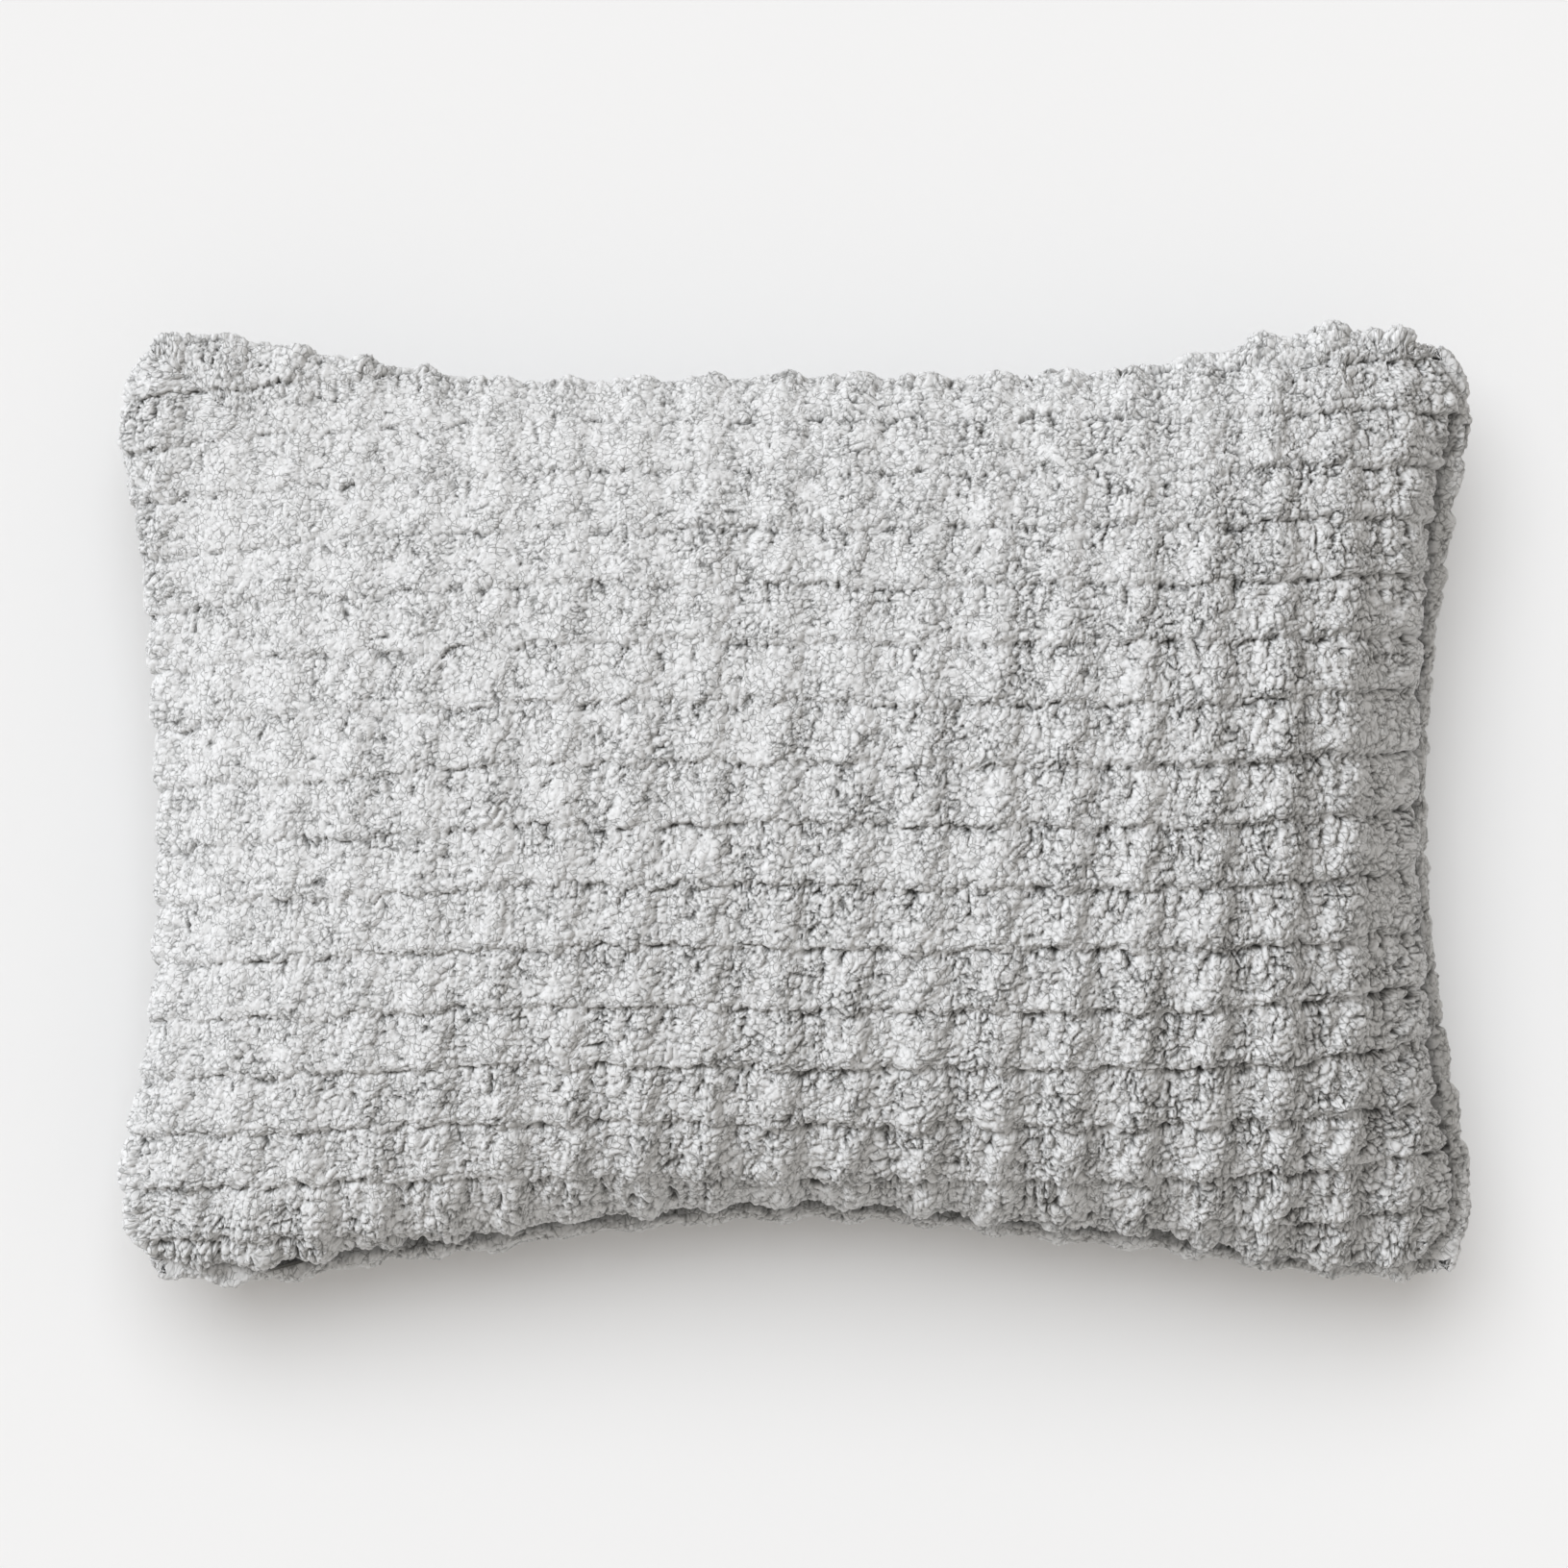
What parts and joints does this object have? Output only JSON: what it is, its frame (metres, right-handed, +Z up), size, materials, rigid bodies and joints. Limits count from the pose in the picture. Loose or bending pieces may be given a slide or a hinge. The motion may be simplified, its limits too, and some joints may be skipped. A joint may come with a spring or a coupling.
{
  "type": "throw pillow",
  "caption": "Lumbar throw pillow in chunky woven chenille with pulled-in sides, pointed corners and a zip hidden in one long seam, over a filled insert.",
  "frame": {"origin": "centre of the footprint, on the surface the pillow lies on", "axes": "+X along the pillow's length, +Y across it away from the zip's seam, +Z up through the crown of the front panel"},
  "size_m": [0.508, 0.356, 0.126],
  "materials": {
    "chenille": "soft fuzzy pile",
    "thread": "twisted polyester",
    "tape": "woven",
    "coil": "satin",
    "zip_metal": "satin",
    "label": "satin ribbon",
    "insert_cloth": "matt nonwoven",
    "filling": "loose fibre"
  },
  "bodies": {
    "cover": {"front_panel": "chenille", "back_panel": "chenille", "cover_seam_thread": "thread", "bartack_left": "thread", "bartack_right": "thread", "zipper_tape_front": "tape", "zipper_tape_back": "tape", "zipper_coil_front": "coil", "zipper_coil_back": "coil", "tape_stitching_front": "thread", "tape_stitching_back": "thread", "top_stop_front": "zip_metal", "top_stop_back": "zip_metal", "bottom_stop": "zip_metal", "care_label": "label", "insert_front": "insert_cloth", "insert_back": "insert_cloth", "insert_seam_thread": "thread", "insert_closing_stitch": "thread", "insert_label": "label", "insert_fill": "filling"},
    "slider": {"slider_body": "zip_metal"},
    "pull": {"pull_tab": "zip_metal"}
  },
  "joints": [
    {"name": "zip_travel", "type": "hinge", "parent": "cover", "child": "slider", "pos_m": [0, -1.61717, 0.058], "axis": [0, 0, -1], "range_deg": [0, 14.48]},
    {"name": "pull_swing", "type": "hinge", "parent": "slider", "child": "pull", "pos_m": [-0.18321, -0.17318, 0.058], "axis": [0, 0, 1], "range_deg": [-8, 164]}
  ]
}
